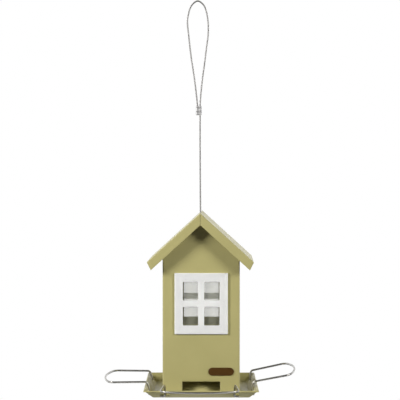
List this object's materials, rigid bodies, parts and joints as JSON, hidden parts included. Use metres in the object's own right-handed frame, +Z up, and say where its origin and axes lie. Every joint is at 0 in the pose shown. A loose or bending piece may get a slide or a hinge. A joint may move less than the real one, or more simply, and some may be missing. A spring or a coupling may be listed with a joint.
{
  "type": "hanging bird feeder",
  "caption": "House-shaped sheet-metal seed feeder on a wire-rope loop, with a gabled lid that slides up the rope, windows, a flared seed tray and folding wire perches.",
  "frame": {"origin": "middle of the tray's underside", "axes": "+Z up, the front with the name plate faces -Y, +X to the right as seen from the front"},
  "size_m": [0.2492, 0.2528, 0.5076],
  "materials": {
    "olive_paint": "satin powder coat",
    "galvanised_steel": "galvanised, dull",
    "painted_rivet": "satin, painted over with the walls",
    "white_plastic": "semi-gloss moulded",
    "clear_plastic": "clear sheet",
    "bright_wire": "bright plated",
    "wire_rope": "stranded steel",
    "soft_aluminium": "crimped, matt",
    "brown_plate": "plain, semi-gloss"
  },
  "bodies": {
    "feeder": {"tray": "olive_paint", "seed_deflector": "olive_paint", "body_shell": "olive_paint", "rear_panel": "olive_paint", "window_frame_front": "white_plastic", "window_frame_rear": "white_plastic", "window_pane_front": "clear_plastic", "window_pane_rear": "clear_plastic", "hanging_cable": "wire_rope", "cable_ferrule": "soft_aluminium", "cable_stop": "soft_aluminium", "hanger_bracket": "galvanised_steel", "name_plate": "brown_plate", "bracket_rivet_left": "painted_rivet", "bracket_rivet_right": "painted_rivet", "seam_rivet_left_1": "painted_rivet", "seam_rivet_left_2": "painted_rivet", "seam_rivet_left_3": "painted_rivet", "seam_rivet_right_1": "painted_rivet", "seam_rivet_right_2": "painted_rivet", "seam_rivet_right_3": "painted_rivet", "base_rivet_1": "galvanised_steel", "base_rivet_2": "galvanised_steel", "base_rivet_3": "galvanised_steel", "base_rivet_4": "galvanised_steel"},
    "lid": {"roof": "olive_paint"},
    "front_perch": {"perch_front": "bright_wire"},
    "rear_perch": {"perch_rear": "bright_wire"},
    "left_perch": {"perch_left": "bright_wire"},
    "right_perch": {"perch_right": "bright_wire"}
  },
  "joints": [
    {"name": "roof_slide", "type": "slide", "parent": "feeder", "child": "lid", "axis": [0, 0, 1], "range_m": [0, 0.12]},
    {"name": "front_perch_fold", "type": "hinge", "parent": "feeder", "child": "front_perch", "pos_m": [-0.0018, -0.06588, 0.005], "axis": [-1, 0, 0], "range_deg": [0, 90]},
    {"name": "rear_perch_fold", "type": "hinge", "parent": "feeder", "child": "rear_perch", "pos_m": [0, 0.06588, 0.005], "axis": [1, 0, 0], "range_deg": [0, 90]},
    {"name": "left_perch_fold", "type": "hinge", "parent": "feeder", "child": "left_perch", "pos_m": [-0.06588, 0, 0.005], "axis": [0, 1, 0], "range_deg": [0, 90]},
    {"name": "right_perch_fold", "type": "hinge", "parent": "feeder", "child": "right_perch", "pos_m": [0.06588, 0, 0.005], "axis": [0, -1, 0], "range_deg": [-11.5, 78.5]}
  ]
}
